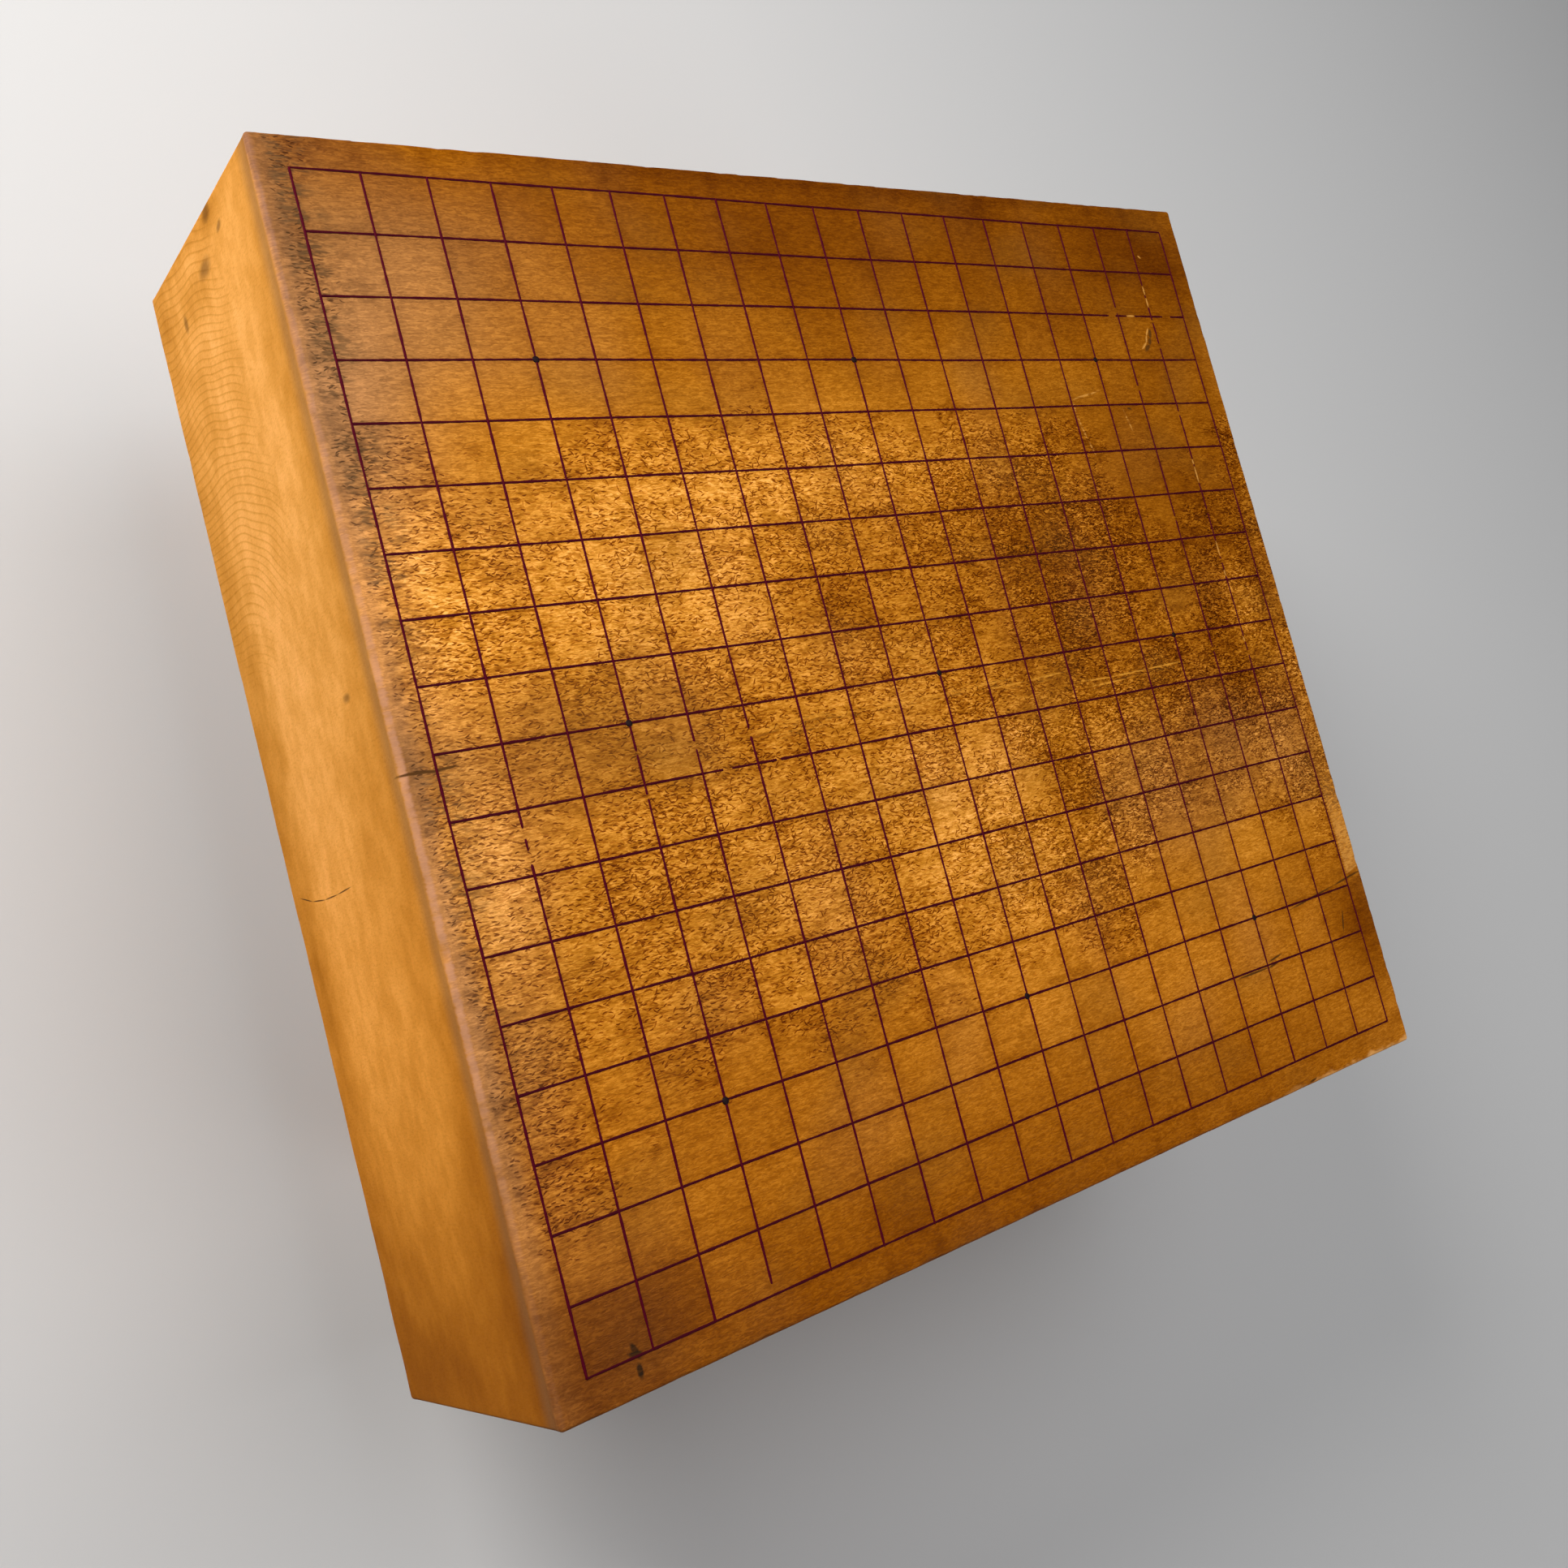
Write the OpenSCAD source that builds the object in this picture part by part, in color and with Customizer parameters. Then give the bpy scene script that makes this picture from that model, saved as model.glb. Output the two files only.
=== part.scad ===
// Floor go board: a solid wooden block on four carved legs.
// The legs stand in square mortises under the block and pull straight out.
// The grid and the star points are raised lacquer on the playing face.
// Origin: on the floor under the middle of the block, +Z up.
// +X runs along the grain and the longer side, and the front is -Y.

/* [Playing grid] */
// Lines each way
line_count = 19; // [17, 19]
// From line to line along the longer side
pitch_x = 23.7; // [20:0.1:27]
// From line to line along the shorter side
pitch_y = 22; // [19:0.1:26]
// Bare wood from the outer lines to the edge of the block
margin = 12; // [8:0.5:30]
// Which line in from the edge carries the star points
star_line = 4; // [3:1:5]

/* [Lacquer] */
// Width of a drawn line
line_w = 0.9; // [0.6:0.1:1.6]
// Height of a drawn line above the wood
line_h = 0.15; // [0.1:0.05:0.4]
// How far a crosswise line stands above the lengthwise line that it crosses
lap_h = 0.1; // [0.05:0.05:0.3]
// Diameter of a star point
star_d = 3; // [2:0.2:6]
// How far a star point stands above the crosswise line under it
star_rise = 0.15; // [0.1:0.05:0.4]

/* [Block] */
// Thickness of the block
block_h = 124; // [80:1:200]
// Width of the planed-off corner along every edge of the block
edge_flat = 1.5; // [0.5:0.1:4]

/* [Navel under the block] */
// Side of the square hollow
navel_w = 76; // [50:1:100]
// Depth of the hollow
navel_depth = 26; // [16:1:40]
// Height of the four-sided peak left standing in the hollow
peak_h = 12; // [5:1:15]
// Flat ledge round the foot of the peak
peak_ledge = 5; // [2:0.5:12]

/* [Legs] */
// Height of a leg from the floor to the underside of the block
leg_h = 106; // [90:1:130]
// From the edges of the block to the middle of a leg
leg_inset = 76; // [62:1:90]
// Carved ribs round a leg
rib_count = 8; // [6:1:10]
// Depth of the hollow between two ribs at the belly
rib_depth = 5; // [2:0.5:7]
// Radius over the ribs at the top of a leg
neck_r = 35; // [30:1:44]
// Radius over the ribs at the belly
belly_r = 45; // [38:1:52]
// Height of the belly above the floor
belly_z = 70; // [55:1:80]
// Radius over the ribs at the ankle
ankle_r = 25; // [20:1:34]
// Height of the ankle above the floor
ankle_z = 24; // [14:1:35]
// Radius over the ribs at the floor
foot_r = 32; // [26:1:40]

/* [Tenons] */
// Side of the square tenon on top of a leg
tenon_w = 30; // [20:1:36]
// Length of the tenon
tenon_l = 34; // [20:1:50]
// Clearance on each side of the tenon in its mortise
tenon_fit = 0.2; // [0.1:0.05:0.5]
// Air left above the end of the tenon
tenon_air = 2; // [0.5:0.5:5]

/* [Hidden] */

wood = [0.76, 0.45, 0.14];
leg_wood = [0.70, 0.40, 0.13];
lacquer = [0.16, 0.05, 0.05];
star_lacquer = [0.07, 0.03, 0.03];

// The grid and the block round it
grid_x = (line_count - 1) * pitch_x;
grid_y = (line_count - 1) * pitch_y;
block_x = grid_x + 2 * margin;
block_y = grid_y + 2 * margin;
underside_z = leg_h;
face_z = underside_z + block_h;
cross_h = line_h + lap_h;
star_h = cross_h + star_rise;
middle_line = (line_count + 1) / 2;
star_lines = [star_line, middle_line, line_count + 1 - star_line];

// The legs and their joints
leg_x = block_x / 2 - leg_inset;
leg_y = block_y / 2 - leg_inset;
mortise_w = tenon_w + 2 * tenon_fit;
mortise_depth = tenon_l + tenon_air;
rib_steps = 6;
leg_sides = rib_count * rib_steps;
leg_rings = 20;
round_sides = 48;

// How far a cut or a rooted tenon runs past the face that it starts from
past = 1;

// Where line number n stands, counted from the left or from the front
function line_x(n) = (n - 1) * pitch_x - grid_x / 2;
function line_y(n) = (n - 1) * pitch_y - grid_y / 2;

// A smooth step from a to b as t goes from 0 to 1, level at both ends
function eased(a, b, t) = a + (b - a) * (1 - cos(180 * t)) / 2;

// A flare from a to b as t goes from 0 to 1, steep at a and level at b
function flared(a, b, t) = b + (a - b) * pow(1 - t, 2);

// Radius over the ribs at height z: foot, ankle, belly and neck in turn
function leg_radius(z) =
    z < ankle_z ? flared(foot_r, ankle_r, z / ankle_z)
    : z < belly_z ? eased(ankle_r, belly_r, (z - ankle_z) / (belly_z - ankle_z))
    : eased(belly_r, neck_r, (z - belly_z) / (leg_h - belly_z));

// Radius at an angle: the ribs are sharp, and the panels between them are hollowed
function ribbed_radius(z, angle) =
    leg_radius(z) * (1 - rib_depth / belly_r * abs(sin(rib_count * angle / 2)));

// One ring of the leg's surface
function leg_ring(z) = [
    for (j = [0 : leg_sides - 1])
        let (angle = 360 * j / leg_sides, r = ribbed_radius(z, angle))
            [r * cos(angle), r * sin(angle), z]
];

// Outline of a rectangle with its four corners cut off
module cut_rectangle(across, up, cut) {
    a = across / 2;
    b = up / 2;
    polygon([
        [a - cut, -b], [a, cut - b], [a, b - cut], [a - cut, b],
        [cut - a, b], [-a, b - cut], [-a, cut - b], [cut - a, -b],
    ]);
}

// A box about the origin with a flat planed along each of its twelve edges
module planed_box(x, y, z, cut) {
    intersection() {
        linear_extrude(height = z, center = true)
            cut_rectangle(x, y, cut);
        rotate([90, 0, 0])
            linear_extrude(height = y, center = true)
                cut_rectangle(x, z, cut);
        rotate([90, 0, 90])
            linear_extrude(height = x, center = true)
                cut_rectangle(y, z, cut);
    }
}

// A triangular ridge that hangs from z = 0, run along Y
module hanging_ridge(across, drop, along) {
    rotate([90, 0, 0])
        linear_extrude(height = along, center = true)
            polygon([[-across / 2, 0], [0, -drop], [across / 2, 0]]);
}

// The square hollow under the block, with its peak left standing
module navel() {
    peak_w = navel_w - 2 * peak_ledge;
    difference() {
        translate([-navel_w / 2, -navel_w / 2, -past])
            cube([navel_w, navel_w, navel_depth + past]);
        translate([0, 0, navel_depth])
            intersection() {
                hanging_ridge(peak_w, peak_h, navel_w);
                rotate([0, 0, 90])
                    hanging_ridge(peak_w, peak_h, navel_w);
            }
    }
}

// The square hole that takes a tenon
module mortise() {
    translate([-mortise_w / 2, -mortise_w / 2, -past])
        cube([mortise_w, mortise_w, mortise_depth + past]);
}

module board_block() {
    color(wood)
        difference() {
            translate([0, 0, underside_z + block_h / 2])
                planed_box(block_x, block_y, block_h, edge_flat);
            translate([0, 0, underside_z])
                navel();
            for (x = [-leg_x, leg_x], y = [-leg_y, leg_y])
                translate([x, y, underside_z])
                    mortise();
        }
}

// The ribbed body of a leg, standing at the origin
module leg_body() {
    points = [for (k = [0 : leg_rings]) each leg_ring(leg_h * k / leg_rings)];
    last = leg_rings * leg_sides;
    walls = [
        for (k = [0 : leg_rings - 1], j = [0 : leg_sides - 1])
            let (
                a = k * leg_sides + j,
                b = k * leg_sides + (j + 1) % leg_sides
            )
                each [[a, a + leg_sides, b], [b, a + leg_sides, b + leg_sides]]
    ];
    floor_face = [for (j = [0 : leg_sides - 1]) j];
    top_face = [for (j = [leg_sides - 1 : -1 : 0]) last + j];
    polyhedron(points = points, faces = concat(walls, [floor_face, top_face]), convexity = 4);
}

// One leg with its tenon: x_side is -1 on the left, and y_side is -1 at the front
module leg(x_side, y_side) {
    color(leg_wood)
        translate([x_side * leg_x, y_side * leg_y, 0])
            union() {
                leg_body();
                translate([-tenon_w / 2, -tenon_w / 2, leg_h - past])
                    cube([tenon_w, tenon_w, tenon_l + past]);
            }
}

// Strokes along X, drawn first
module lengthwise_strokes() {
    for (n = [1 : line_count])
        translate([-(grid_x + line_w) / 2, line_y(n) - line_w / 2, face_z])
            cube([grid_x + line_w, line_w, line_h]);
}

// Strokes along Y before they are fitted over the lengthwise ones
module crosswise_strokes() {
    for (n = [1 : line_count])
        translate([line_x(n) - line_w / 2, -(grid_y + line_w) / 2, face_z])
            cube([line_w, grid_y + line_w, cross_h]);
}

module lengthwise_lines() {
    color(lacquer)
        lengthwise_strokes();
}

module crosswise_lines() {
    color(lacquer)
        difference() {
            crosswise_strokes();
            lengthwise_strokes();
        }
}

module star_points() {
    color(star_lacquer)
        difference() {
            for (i = star_lines, j = star_lines)
                translate([line_x(i), line_y(j), face_z])
                    cylinder(d = star_d, h = star_h, $fn = round_sides);
            lengthwise_strokes();
            crosswise_strokes();
        }
}

board_block();
leg(-1, -1);  // leg_front_left
leg(1, -1);  // leg_front_right
leg(-1, 1);  // leg_rear_left
leg(1, 1);  // leg_rear_right
lengthwise_lines();
crosswise_lines();
star_points();
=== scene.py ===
import bpy
import numpy as np
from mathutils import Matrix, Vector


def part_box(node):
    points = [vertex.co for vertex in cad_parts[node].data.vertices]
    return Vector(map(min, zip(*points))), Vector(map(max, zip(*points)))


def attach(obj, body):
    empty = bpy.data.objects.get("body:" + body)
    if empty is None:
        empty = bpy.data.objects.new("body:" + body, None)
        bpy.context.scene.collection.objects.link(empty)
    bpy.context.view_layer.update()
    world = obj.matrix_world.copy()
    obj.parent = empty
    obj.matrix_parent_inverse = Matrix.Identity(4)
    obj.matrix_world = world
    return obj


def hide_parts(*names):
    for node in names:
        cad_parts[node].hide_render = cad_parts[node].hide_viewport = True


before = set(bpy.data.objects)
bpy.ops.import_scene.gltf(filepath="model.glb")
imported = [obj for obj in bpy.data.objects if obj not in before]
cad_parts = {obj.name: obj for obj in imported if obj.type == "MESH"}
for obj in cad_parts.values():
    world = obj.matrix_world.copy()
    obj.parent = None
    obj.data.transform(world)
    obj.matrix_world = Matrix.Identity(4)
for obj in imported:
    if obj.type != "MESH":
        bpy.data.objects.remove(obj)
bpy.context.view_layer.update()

# The block is one piece of old amber wood, sawn and planed square, with its grain along X.
# Its edges are rubbed round by handling, most of all along the left of the playing face.
# A square navel and four square mortises for the legs are chopped into its underside.
block_low, block_high = (np.array(corner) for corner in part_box("board_block"))
half_x, half_y, face_z = block_high
under_z = block_low[2]
corner_r, arris_r, low_arris_r = 0.0016, 0.0011, 0.0012
left_wear = 0.0015
rim_step = 0.0024
navel_half, peak_z = 0.038, 0.014
leg_x, leg_y = 0.1493, 0.134
mortise_half, mortise_depth = 0.0152, 0.036
chance = np.random.default_rng(361)


def rounded_outline(across, along, radius, step):
    """Walks once round a rectangle with round corners, anticlockwise seen from above.

    Gives the core, which is the rectangle shrunk by the radius, and the outward direction
    at each point, so that the outline is core + radius * outward.
    """
    corners = np.array([[1, 1], [-1, 1], [-1, -1], [1, -1]]) * [across - radius, along - radius]
    cores, turns = [], []
    for quarter in range(4):
        here, there = corners[quarter], corners[(quarter + 1) % 4]
        arc = np.linspace(quarter, quarter + 1, 9)
        count = int(np.linalg.norm(there - here) / step)
        share = np.arange(1, count)[:, None] / count
        cores += [np.repeat(here[None], len(arc), axis=0), here + (there - here) * share]
        turns += [arc, np.full(count - 1, quarter + 1.0)]
    angle = np.concatenate(turns) * np.pi / 2
    return np.concatenate(cores), np.stack([np.cos(angle), np.sin(angle)], axis=-1)


def ripple(place, waves, size):
    """A smooth random curve: sines of the given wavelengths with seeded phases, added up."""
    phase = chance.uniform(0, 2 * np.pi, len(waves))
    return size * np.sin(2 * np.pi * place[..., None] / np.array(waves) + phase).mean(axis=-1)


def nicks(place, count, length, widest, deepest):
    """Small dips at seeded places along a length, each a bell curve of its own width and depth."""
    middle = chance.uniform(0, length, count)
    width = chance.uniform(0.3, 1.0, count) * widest
    depth = chance.uniform(0.2, 1.0, count) ** 2 * deepest
    return (depth * np.exp(-(((place[..., None] - middle) / width) ** 2))).max(axis=-1)


def closed_skins(name, rings, tips):
    """Closes stacks of equal rings into skins, all of them in one mesh.

    rings is (skins, rows, columns, 3) and tips is (skins, 2, 3). Four neighbours make a
    face, the columns wrap round, and the first and last rows are fanned to the two tips.
    """
    skins, rows, columns = rings.shape[:3]
    each = rows * columns
    points = np.concatenate([rings.reshape(-1, 3), tips.reshape(-1, 3)])
    here = np.arange(skins * each).reshape(skins, rows, columns)
    after = np.roll(here, -1, axis=2)
    squares = np.stack([here[:, :-1], here[:, 1:], after[:, 1:], after[:, :-1]], axis=-1)
    tip = skins * each + np.arange(2 * skins).reshape(skins, 2, 1)
    tip = np.broadcast_to(tip, (skins, 2, columns))
    first = np.stack([tip[:, 0], here[:, 0], after[:, 0]], axis=-1)
    last = np.stack([tip[:, 1], after[:, -1], here[:, -1]], axis=-1)
    fans = np.concatenate([first, last]).reshape(-1, 3)
    mesh = bpy.data.meshes.new(name)
    mesh.from_pydata(points.tolist(), [], squares.reshape(-1, 4).tolist() + fans.tolist())
    mesh.shade_smooth()
    made = bpy.data.objects.new(name, mesh)
    bpy.context.scene.collection.objects.link(made)
    return made


core, outward = rounded_outline(half_x, half_y, corner_r, rim_step)
rim = core + corner_r * outward
rim_y = rim[:, 1]
place = np.concatenate([[0], np.linalg.norm(np.diff(rim, axis=0), axis=1).cumsum()])
rim_length = place[-1] + np.linalg.norm(rim[0] - rim[-1])
on_left = np.clip(-outward[:, 0], 0, 1) * np.clip((half_y - 0.004 - abs(rim_y)) / 0.03, 0, 1)
top_r = arris_r + left_wear * on_left * (1 + ripple(rim_y, [0.31, 0.13, 0.047, 0.021], 0.6))
top_r += ripple(place, [0.11, 0.041, 0.017], 0.0003)

# Chips: small ones all round, more and deeper ones where hands take hold of the left edge,
# one where a check comes out on the left, and one at the rear.
handled = np.exp(-(((rim_y + 0.04) / 0.08) ** 2))
chips = nicks(place, 150, rim_length, 0.0022, 0.0005)
chips += on_left * nicks(rim_y + half_y, 90, 2 * half_y, 0.003, 0.0007)
chips += on_left * handled * nicks(rim_y + half_y, 45, 2 * half_y, 0.004, 0.0012)
chips += on_left * 0.0016 * np.exp(-(((rim_y + 0.005) / 0.0011) ** 2))
chips += np.exp(-(((rim - [-0.186, half_y]) / [0.0016, 0.003]) ** 2).sum(axis=1)) * 0.0012

face_rows = np.linspace(0.02, 0.99, 56)[:, None, None] * (rim - outward * top_r[:, None])
bend = np.linspace(0, np.pi / 2, 9)[:, None]
arris_in = top_r * (1 - np.sin(bend)) + chips * np.sin(2 * bend) * 0.7
arris_down = top_r * (1 - np.cos(bend)) + chips * np.sin(2 * bend) * 0.7
drop = np.linspace(0.03, 0.97, 22)[:, None]
side_z = face_z - top_r + (under_z + low_arris_r - face_z + top_r) * drop
side_in = 0.00012 + ripple(place + 0 * drop, [0.19, 0.083, 0.037], 0.0001) * np.sin(np.pi * drop)
low_r = low_arris_r + ripple(place, [0.09, 0.031], 0.0003)
low_bend = np.linspace(0, np.pi / 2, 7)[:, None]
low_chips = nicks(place, 120, rim_length, 0.003, 0.0008) * np.sin(2 * low_bend)
low_in = low_r * (1 - np.cos(low_bend)) + low_chips
low_up = low_r * (1 - np.sin(low_bend)) + low_chips
flat_edge = rim - outward * low_r[:, None]
mouth = flat_edge * navel_half / np.array([half_x, half_y])
underside = flat_edge + (mouth - flat_edge) * np.linspace(0.05, 0.985, 8)[:, None, None]

# The navel, from its mouth up its wall, along a ledge and down the slope of its peak.
navel_scale = np.array([1.0, 0.985, 0.98, 0.975, 0.968, 0.868, 0.6, 0.3])
navel_up = np.array([0.0004, 0.0016, 0.009, 0.018, 0.026, 0.026, 0.0219, 0.0176])


def level(outline, height):
    """Gives rows of an outline their heights."""
    height = np.broadcast_to(height, outline.shape[:2])
    return np.concatenate([outline, height[..., None]], axis=-1)


rows = np.concatenate([
    level(face_rows, face_z),
    level(rim - outward * arris_in[..., None], face_z - arris_down),
    level(rim - outward * side_in[..., None], side_z),
    level(rim - outward * low_in[..., None], under_z + low_up),
    level(underside, under_z),
    level(mouth * navel_scale[:, None, None], under_z + navel_up[:, None]),
])
tips = np.array([[[0, 0, face_z], [0, 0, under_z + peak_z]]])
block = closed_skins("wood_block", rows[None], tips)

leg_spots = np.array([[x, y] for y in (-leg_y, leg_y) for x in (-leg_x, leg_x)])
square_turn = np.array([[1, 1], [-1, 1], [-1, -1], [1, -1]])
mortise = leg_spots[:, None, None] + square_turn * mortise_half * np.ones((2, 1, 1))
mortise_z = np.array([under_z + mortise_depth, under_z - 0.004])[None, :, None, None]
mortise_rings = np.concatenate([mortise, np.broadcast_to(mortise_z, (4, 2, 4, 1))], axis=-1)
cutter = closed_skins("mortise_cutter", mortise_rings, mortise_rings.mean(axis=2))
cut = block.modifiers.new("mortises", "BOOLEAN")
cut.object = cutter
cut.solver = "MANIFOLD"
whole = block.evaluated_get(bpy.context.evaluated_depsgraph_get())
block.data = bpy.data.meshes.new_from_object(whole)
block.modifiers.clear()
bpy.data.objects.remove(cutter)
block.data.set_sharp_from_angle(angle=np.radians(40))


class Finish:
    """The node sheet of one material. Each call lays one or more nodes, feeds them numbers
    or the outputs of other nodes, and returns an output. Lengths are in millimetres."""

    def __init__(self, name):
        self.material = bpy.data.materials.new(name)
        self.material.use_nodes = True
        self.tree = self.material.node_tree
        self.shader = self.tree.nodes["Principled BSDF"]
        metres = self.tree.nodes.new("ShaderNodeTexCoord").outputs["Object"]
        self.at = self.vector("MULTIPLY", metres, (1000, 1000, 1000))

    def feed(self, socket, value):
        if isinstance(value, bpy.types.NodeSocket):
            self.tree.links.new(value, socket)
        else:
            socket.default_value = value

    def lay(self, kind, feeds, output=0, **settings):
        made = self.tree.nodes.new("ShaderNode" + kind)
        for key, value in settings.items():
            setattr(made, key, value)
        for key, value in feeds.items():
            self.feed(made.inputs[key], value)
        return made.outputs[output]

    def maths(self, operation, *values):
        return self.lay("Math", dict(enumerate(values)), operation=operation)

    def times(self, first, *others):
        for value in others:
            first = self.maths("MULTIPLY", first, value)
        return first

    def vector(self, operation, *values):
        output = "Value" if operation in ("LENGTH", "DOT_PRODUCT") else "Vector"
        return self.lay("VectorMath", dict(enumerate(values)), output, operation=operation)

    def parts(self, value):
        made = self.tree.nodes.new("ShaderNodeSeparateXYZ")
        self.feed(made.inputs[0], value)
        return list(made.outputs)

    def join(self, x, y, z):
        return self.lay("CombineXYZ", {0: x, 1: y, 2: z})

    def ramp(self, value, start, end, low=0.0, high=1.0):
        feeds = {0: value, 1: start, 2: end, 3: low, 4: high}
        return self.lay("MapRange", feeds, interpolation_type="SMOOTHSTEP")

    def noise(self, at, size, detail=2.0, roughness=0.5, warp=0.0):
        scaled = self.vector("DIVIDE", at, size)
        feeds = {"Vector": scaled, "Scale": 1.0, "Detail": detail, "Roughness": roughness}
        return self.lay("TexNoise", feeds | {"Distortion": warp})

    def mix(self, share, under, over):
        return self.lay("Mix", {0: share, 6: under, 7: over}, 2, data_type="RGBA")

    def blend(self, share, under, over):
        return self.lay("Mix", {0: share, 2: under, 3: over}, data_type="FLOAT")

    def marks(self, at, lines, width, height):
        """Slim ovals laid end to end along broken lines on a level plane, joined into one mask.

        Each oval is the unit circle when it is measured along and across its own run. The
        nearest one counts, and the mask fades out within 8 mm of the plane.
        """
        nearest = 81.0
        for points in lines:
            for start, end in zip(points, points[1:]):
                middle = (np.array(start) + end) / 2
                run = np.subtract(end, start)
                length = np.hypot(*run)
                ahead = run / length / (0.56 * length + 0.3)
                aside = np.array([-run[1], run[0]]) / length / width
                off = self.vector("SUBTRACT", at, (*middle, height))
                along = self.vector("DOT_PRODUCT", off, (*ahead, 0))
                across = self.vector("DOT_PRODUCT", off, (*aside, 0))
                oval = self.maths("MULTIPLY_ADD", along, along, self.times(across, across))
                nearest = self.maths("MINIMUM", oval, nearest)
        above = self.vector("SUBTRACT", at, (0, 0, height))
        above = self.vector("DOT_PRODUCT", above, (0, 0, 1 / 8))
        nearest = self.maths("SQRT", self.maths("MULTIPLY_ADD", above, above, nearest))
        return self.ramp(nearest, 0.5, 1.1, 1.0, 0.0)

    def strokes(self, at, size, seed, length, width, lean, density):
        """Short bent strokes, one to a random cell: the offset from the cell's middle is
        turned by a random angle, bent by a parabola and kept inside an ellipse."""
        cells = self.vector("DIVIDE", at, (size, size, 1e6))
        cells = self.vector("ADD", cells, (seed, 1.7 * seed, 0))
        spots = self.tree.nodes.new("ShaderNodeTexVoronoi")
        spots.voronoi_dimensions = "2D"
        spots.inputs["Scale"].default_value = 1.0
        self.feed(spots.inputs["Vector"], cells)
        turn, curve, kept = self.parts(spots.outputs["Color"])
        off = self.vector("SUBTRACT", cells, spots.outputs["Position"])
        angle = self.maths("MULTIPLY_ADD", turn, lean, -lean / 2)
        turned = self.lay("VectorRotate", {"Vector": off, "Angle": angle}, rotation_type="Z_AXIS")
        along, across, _ = self.parts(turned)
        bend = self.maths("MULTIPLY_ADD", curve, 1.6, -0.8)
        across = self.maths("MULTIPLY_ADD", self.times(along, along), bend, across)
        slim = self.vector("MULTIPLY", self.join(along, across, 0.0), (1 / length, 1 / width, 0))
        shown = self.ramp(self.maths("SUBTRACT", density, kept), 0.0, 0.6)
        return self.times(self.ramp(self.vector("LENGTH", slim), 0.5, 1.0, 1.0, 0.0), shown)


# The wear of the block and its painted light are kept in its mesh: how light the wood is, painted sheen
# and shade included, how thick the bruises from stones lie, how much grime from hands has gathered, and
# how much dry dust and painted sheen lie, at every point.
points_mm = np.empty(3 * len(block.data.vertices), np.float32)
block.data.vertices.foreach_get("co", points_mm)
points_mm = 1000 * points_mm.reshape(-1, 3).astype(float)
at_x, at_y, at_z = points_mm.T
top_mm, edge_x, under_mm = 1000 * face_z, 1000 * half_x, 1000 * under_z


def patches(ovals, across=0, up=1):
    """Soft ovals added up in the plane of two axes: each is (middle across, middle up, reach
    across, reach up, change), at its full change within a fifth of its reach and eased out."""
    ovals = np.array(ovals, float)
    off = (points_mm[:, None, [across, up]] - ovals[:, :2]) / ovals[:, 2:4]
    away = np.clip((np.hypot(off[..., 0], off[..., 1]) - 0.2) / 0.8, 0, 1)
    return (1 - away * away * (3 - 2 * away)) @ ovals[:, 4]


def drift(size, waves=16):
    """A smooth random field of unit spread: seeded plane waves of about the given length."""
    way = chance.normal(size=(3, waves))
    way *= 2 * np.pi / (size * chance.uniform(0.6, 1.7, waves)) / np.linalg.norm(way, axis=0)
    phase = chance.uniform(0, 2 * np.pi, waves)
    return np.sin(points_mm @ way + phase).sum(axis=1) * np.sqrt(2 / waves)


def eased(value, start, end):
    """A smooth step from nought at start to one at end."""
    share = np.clip((value - start) / (end - start), 0, 1)
    return share * share * (3 - 2 * share)


# Face: darker at the rear, front and right, lighter in the left half, with stains between. The light
# left half is partly a painted sheen, and the darker right is partly painted shade.
light = 0.425 + 0.014 * drift(50) + patches([
    (10, 235, 340, 170, -0.27), (-80, -230, 370, 105, -0.19), (240, 40, 220, 250, -0.18),
    (0, 213, 300, 14, -0.07), (0, -213, 300, 12, -0.04), (225, 0, 14, 220, 0.07),
    (-225, 20, 16, 260, -0.08), (-224, 30, 13, 75, -0.11), (-115, 50, 110, 65, 0.21),
    (-60, -60, 220, 70, 0.12), (-35, 90, 120, 32, 0.17), (-210, 45, 45, 60, 0.25),
    (-205, -40, 25, 55, 0.20), (5, -75, 60, 90, 0.13), (-30, 5, 100, 25, 0.11),
    (170, -85, 60, 50, 0.11), (195, 15, 18, 32, 0.20), (210, -45, 40, 90, 0.11),
    (65, 30, 65, 75, -0.11), (-45, 35, 30, 18, -0.12), (50, -55, 35, 28, -0.16),
    (-205, -190, 55, 45, -0.10), (220, -155, 45, 45, -0.18), (-215, 195, 60, 55, -0.09),
    (215, 195, 70, 55, -0.07), (160, -200, 110, 40, -0.06), (150, 88, 120, 38, -0.06),
    (-130, -135, 130, 38, -0.05),
])

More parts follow.
